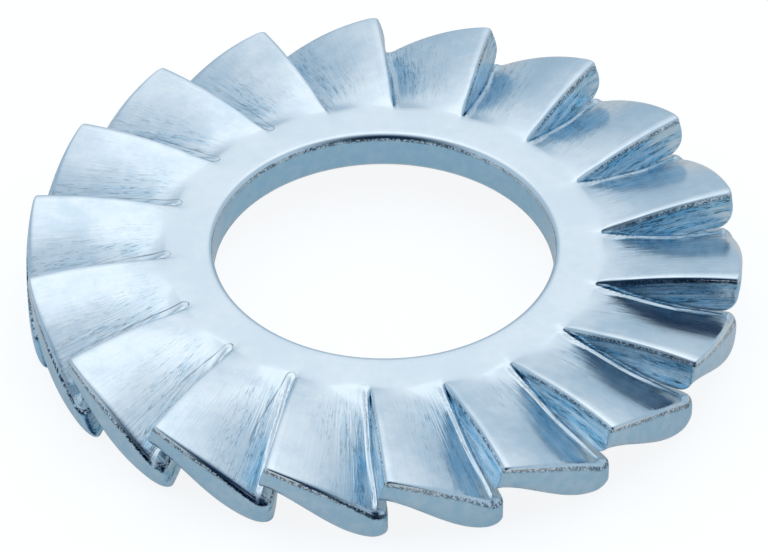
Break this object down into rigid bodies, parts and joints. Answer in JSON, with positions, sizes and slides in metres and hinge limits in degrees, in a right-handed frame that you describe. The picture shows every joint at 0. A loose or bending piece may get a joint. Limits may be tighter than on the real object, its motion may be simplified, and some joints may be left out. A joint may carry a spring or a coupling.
{
  "type": "toothed lock washer",
  "caption": "Flat spring-steel ring with twisted, overlapping teeth around its rim that bite into a nut and its seat so that the nut can't work loose",
  "frame": {"origin": "centre of the bore's axis, on the plane that the lowest sides of the teeth rest on", "axes": "+Z along the bore, towards the side that the raised edges of the teeth stand on; +X through the inner end of one slit"},
  "size_m": [0.022, 0.022, 0.0025],
  "materials": {
    "zinc_plate": "bright zinc plating with a pale blue passivation, satin"
  },
  "bodies": {
    "root": {"lock_washer": "zinc_plate"}
  },
  "joints": []
}
